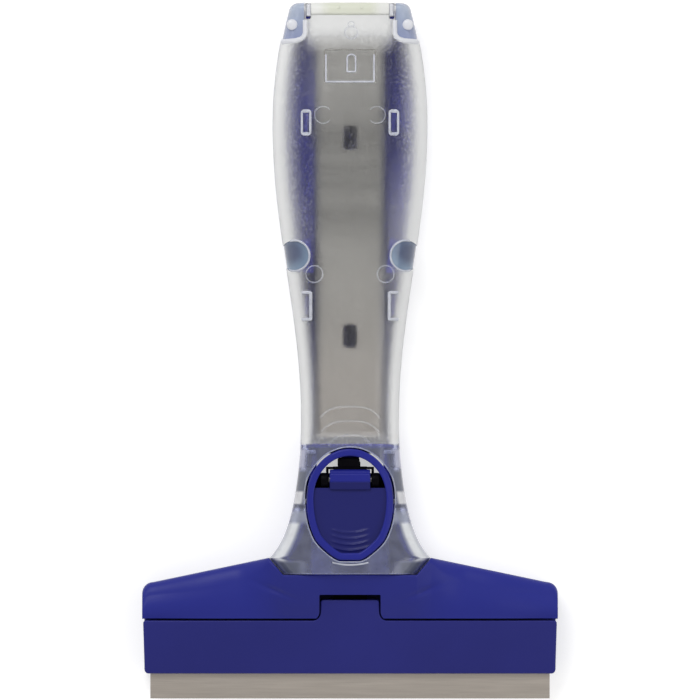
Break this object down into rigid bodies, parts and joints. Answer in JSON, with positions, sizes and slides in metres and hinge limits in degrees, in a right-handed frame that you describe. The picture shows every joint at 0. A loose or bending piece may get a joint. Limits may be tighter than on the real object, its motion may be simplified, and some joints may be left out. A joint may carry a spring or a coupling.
{
  "type": "glass and tile scraper",
  "caption": "Wide flat-blade hand scraper with a clear hollow handle, a drawer of spare blades in it and an oval flip lever that releases the blade's jaw.",
  "frame": {"origin": "centre of the bounding box in X and Y, on the plane that the tool's back rests on", "axes": "+Y along the handle towards its end, -Y to the blade's edge, +Z out of the working face, +X across the blade"},
  "size_m": [0.104, 0.174, 0.022],
  "materials": {
    "clear_plastic": "clear moulding, frosted along the grip and polished at the neck",
    "blue_plastic": "fine satin texture",
    "black_plastic": "smooth moulding",
    "natural_plastic": "milky, slightly yellow, translucent",
    "blade_steel": "rolled strip, ground at the edge"
  },
  "bodies": {
    "handle": {"handle_front_shell": "clear_plastic", "handle_back_cover": "blue_plastic", "head_housing": "blue_plastic", "blade_seat": "blue_plastic", "neck_frame": "black_plastic", "lever_axle": "blade_steel", "scraper_blade": "blade_steel"},
    "lever": {"clamp_lever": "blue_plastic"},
    "draw": {"draw_bar": "black_plastic"},
    "jaw": {"front_jaw": "blue_plastic"},
    "drawer": {"blade_drawer": "natural_plastic", "spare_blade_1": "blade_steel", "spare_blade_2": "blade_steel", "spare_blade_3": "blade_steel", "spare_blade_4": "blade_steel", "spare_blade_5": "blade_steel"},
    "catch": {"drawer_catch": "clear_plastic"}
  },
  "joints": [
    {"name": "lever_hinge", "type": "hinge", "parent": "handle", "child": "lever", "pos_m": [0, -0.0321, 0.016], "axis": [-1, 0, 0], "range_deg": [0, 90]},
    {"name": "draw_slide", "type": "slide", "parent": "handle", "child": "draw", "axis": [0, -1, 0], "range_m": [0, 0.00509]},
    {"name": "jaw_slide", "type": "slide", "parent": "draw", "child": "jaw", "axis": [0, -1, 0], "range_m": [0, 0.026]},
    {"name": "drawer_slide", "type": "slide", "parent": "handle", "child": "drawer", "axis": [0, 1, 0], "range_m": [0, 0.104]},
    {"name": "catch_hinge", "type": "hinge", "parent": "handle", "child": "catch", "pos_m": [0, 0.07515, 0.0204], "axis": [1, 0, 0], "range_deg": [0, 5], "stiffness_Nm_per_rad": 0.02}
  ],
  "couplings": [
    {"joint": "lever_hinge", "follows": "draw_slide", "rad_per_m": 308.5}
  ]
}
